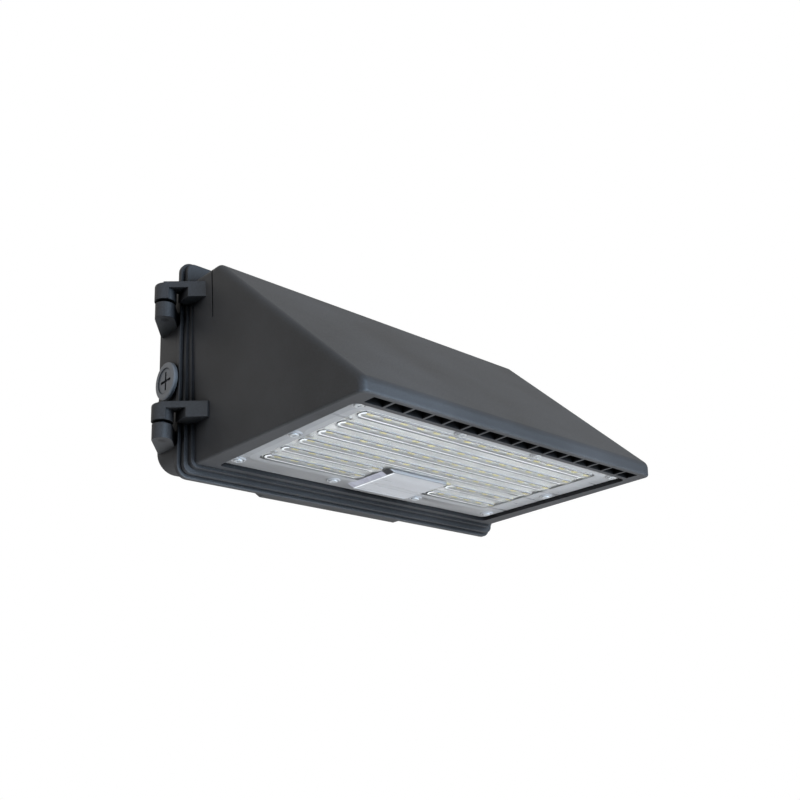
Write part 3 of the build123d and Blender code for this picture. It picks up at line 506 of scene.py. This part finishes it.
def bar(mesh, x0, x1, depth):
    """One clear bar with a flat strip of painted shadow behind it, a painted highlight on its back rim and
    a flat crest; returns its outer ring.
    """
    base_z = LENS_OUTER_Z - PANEL_RISE
    outlines = [capsule(x0, x1, depth, step) for step, _ in BAR_STEPS]
    outlines[0] = [(x, d - SHADOW_STRIP_WIDTH * max(0.0, (depth - d) / BAR_HALF_WIDTH)) for x, d in outlines[0]]
    rings = [ring(mesh, points, base_z - rise) for points, (_, rise) in zip(outlines, BAR_STEPS)]
    count = len(rings[0])
    right_and_front = dict.fromkeys(range(BAR_BACK_START), PLATE_SLOT)
    back_and_left = dict.fromkeys(range(BAR_BACK_START, count), HIGHLIGHT_SLOT)
    # Painted shadow on the flat strip behind the bar's back edge
    band(mesh, rings[0], rings[1], CLEAR_SLOT, {count - 1: SHADOW_SLOT})
    for level in range(1, RIM_LEVEL):
        band(mesh, rings[level], rings[level + 1], CLEAR_SLOT, right_and_front)
    # Painted highlight on the back and left of the bar's rim
    band(mesh, rings[RIM_LEVEL], rings[RIM_LEVEL + 1], CLEAR_SLOT, back_and_left)
    skin(mesh, rings[RIM_LEVEL + 1:], CLEAR_SLOT)
    cap(mesh, rings[-1], CLEAR_SLOT)
    return rings[0]


def lens_moulding():
    """Lens: satin plate, clear panel scalloped round the screws, bars, screw seats and flat box."""
    mesh = bmesh.new()

    # Plate, raised panel and clear window
    plate = rounded_frame(-LENS_HALF_LENGTH, LENS_HALF_LENGTH, LENS_BACK, LENS_FRONT, LENS_CORNER)
    panel = rounded_frame(-PANEL_HALF_LENGTH, PANEL_HALF_LENGTH, PANEL_BACK, PANEL_FRONT, PANEL_CORNER)
    panel = keep_clear(panel)
    window = rounded_frame(WINDOW_LEFT, WINDOW_RIGHT, WINDOW_BACK, WINDOW_FRONT, WINDOW_CORNER)
    window = keep_clear(window, WINDOW_CLEARANCE)
    rings = [ring(mesh, plate, LENS_INNER_Z), ring(mesh, plate, LENS_OUTER_Z + LENS_EDGE_ROUND)]
    rings.append(ring(mesh, inset(plate, LENS_EDGE_ROUND), LENS_OUTER_Z))
    rings += [ring(mesh, inset(panel, step), LENS_OUTER_Z - rise) for step, rise in PANEL_STEPS]
    rings.append(ring(mesh, window, LENS_OUTER_Z - PANEL_RISE))
    skin(mesh, rings, PLATE_SLOT)
    cap(mesh, rings[0], CLEAR_SLOT)

    # Bars rising from the window
    feet = []
    for row in range(BAR_COUNT):
        depth = FIRST_ROW + row * ROW_PITCH
        spans = [(BAR_LEFT, BAR_RIGHT)]
        if row < BROKEN_ROWS:
            spans = [(BAR_LEFT, BAR_BREAK_LEFT), (BAR_BREAK_RIGHT, BAR_RIGHT)]
        feet += [bar(mesh, x0, x1, depth) for x0, x1 in spans]
    cap(mesh, rings[-1], CLEAR_SLOT, feet)

    # Screw seats
    turns = [2 * pi * i / SEAT_SIDES for i in range(SEAT_SIDES)]
    for x, d, _ in LENS_SCREWS:
        seats = [
            ring(mesh, [(x + r * cos(a), d + r * sin(a)) for a in turns], LENS_OUTER_Z - rise)
            for r, rise in SEAT_STEPS
        ]
        skin(mesh, seats, PLATE_SLOT)

    # Flat box, with a slope on its left, painted shade on the slope's front end and along the front foot,
    # and a painted highlight along its left edge
    foot = rounded_frame(COVER_LEFT - COVER_LEFT_SLOPE, COVER_RIGHT, COVER_BACK, COVER_FRONT, COVER_CORNER)
    face = cover_outline(0.0)
    left = [i for i, (x, _) in enumerate(face) if x < COVER_LEFT + COVER_CORNER / 2]
    shaded_corner = [i for i in left if face[i][1] > COVER_FRONT - COVER_SHADE_REACH]
    front = [i for i, (_, d) in enumerate(face) if d > COVER_FRONT - COVER_CORNER / 2]
    rings = [ring(mesh, foot, LENS_OUTER_Z)]
    rings += [ring(mesh, cover_outline(step), COVER_Z - rise) for step, rise in COVER_STEPS]
    # Painted shade on the front end of the left slope
    walls = {**dict.fromkeys(front, PLATE_SLOT), **dict.fromkeys(shaded_corner, SHADE_SLOT)}
    band(mesh, rings[0], rings[1], SLOPE_SLOT, walls)
    # Painted shade along the flat box's front foot
    band(mesh, rings[1], rings[2], BOX_SLOT, dict.fromkeys(front, SHADOW_SLOT))
    for lower, upper in zip(rings[2:], rings[3:]):
        # Painted highlight along the flat box's left edge
        band(mesh, lower, upper, BOX_SLOT, dict.fromkeys(left, HIGHLIGHT_SLOT))
    cap(mesh, rings[-1], BOX_SLOT)

    bmesh.ops.recalc_face_normals(mesh, faces=mesh.faces)
    data = bpy.data.meshes.new("lens_moulding")
    mesh.to_mesh(data)
    mesh.free()
    for finish in LENS_FINISHES:
        data.materials.append(finish)
    piece = bpy.data.objects.new("lens_moulding", data)
    bpy.context.scene.collection.objects.link(piece)
    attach(piece, "hood")
    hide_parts("lens_plate")


def area_light(name, place, target, size, power, colour, mirrored):
    """Soft square light aimed at a point, not seen by the camera; mirrored if it shows in reflections."""
    data = bpy.data.lights.new(name, "AREA")
    data.shape = "SQUARE"
    data.size = size
    data.energy = power
    data.color = colour
    light = bpy.data.objects.new(name, data)
    light.location = place
    light.rotation_euler = (Vector(target) - Vector(place)).to_track_quat("-Z", "Y").to_euler()
    light.visible_camera = False
    light.visible_glossy = mirrored
    bpy.context.scene.collection.objects.link(light)


def surroundings():
    """World that lights the part more from above than from below and shows white behind it."""
    world = bpy.data.worlds.new("studio")
    world.use_nodes = True
    bpy.context.scene.world = world
    tree = world.node_tree
    tree.nodes.clear()
    sky = tree.nodes.new("ShaderNodeTexCoord")
    split = tree.nodes.new("ShaderNodeSeparateXYZ")
    tree.links.new(sky.outputs["Generated"], split.inputs[0])
    strength = span(tree, split.outputs["Z"], AMBIENT_BELOW, AMBIENT_ABOVE, AMBIENT_LOW, AMBIENT_HIGH)
    ambient = tree.nodes.new("ShaderNodeBackground")
    ambient.inputs["Color"].default_value = AMBIENT_COLOUR
    tree.links.new(strength, ambient.inputs["Strength"])
    backdrop = tree.nodes.new("ShaderNodeBackground")
    backdrop.inputs["Color"].default_value = BACKDROP_COLOUR
    backdrop.inputs["Strength"].default_value = BACKDROP_STRENGTH
    path = tree.nodes.new("ShaderNodeLightPath")
    mix = tree.nodes.new("ShaderNodeMixShader")
    output = tree.nodes.new("ShaderNodeOutputWorld")
    tree.links.new(path.outputs["Is Camera Ray"], mix.inputs[0])
    tree.links.new(ambient.outputs[0], mix.inputs[1])
    tree.links.new(backdrop.outputs[0], mix.inputs[2])
    tree.links.new(mix.outputs[0], output.inputs["Surface"])


def studio():
    """Pale floor, white surroundings and soft lights."""
    bpy.context.scene.view_settings.view_transform = "Standard"
    surroundings()
    bpy.ops.mesh.primitive_circle_add(
        vertices=FLOOR_SIDES, radius=FLOOR_RADIUS, fill_type="NGON", location=(0, 0, FLOOR_Z)
    )
    floor = bpy.context.object
    floor.name = "floor"
    floor.data.materials.append(FLOOR)
    for light in LIGHTS:
        area_light(*light)


def camera():
    """Camera at the photograph's place."""
    data = bpy.data.cameras.new("photo_camera")
    data.lens = CAMERA_LENS_MM
    data.sensor_width = CAMERA_SENSOR_MM
    data.shift_x, data.shift_y = CAMERA_SHIFT
    eye = bpy.data.objects.new("photo_camera", data)
    turn = Matrix.Rotation(-radians(CAMERA_YAW), 4, "Z")
    tilt = Matrix.Rotation(pi / 2 + radians(CAMERA_PITCH), 4, "X")
    roll = Matrix.Rotation(radians(CAMERA_ROLL), 4, "Z")
    eye.matrix_world = Matrix.Translation(CAMERA_PLACE) @ turn @ tilt @ roll
    bpy.context.scene.collection.objects.link(eye)
    bpy.context.scene.camera = eye


lens_moulding()
studio()
camera()
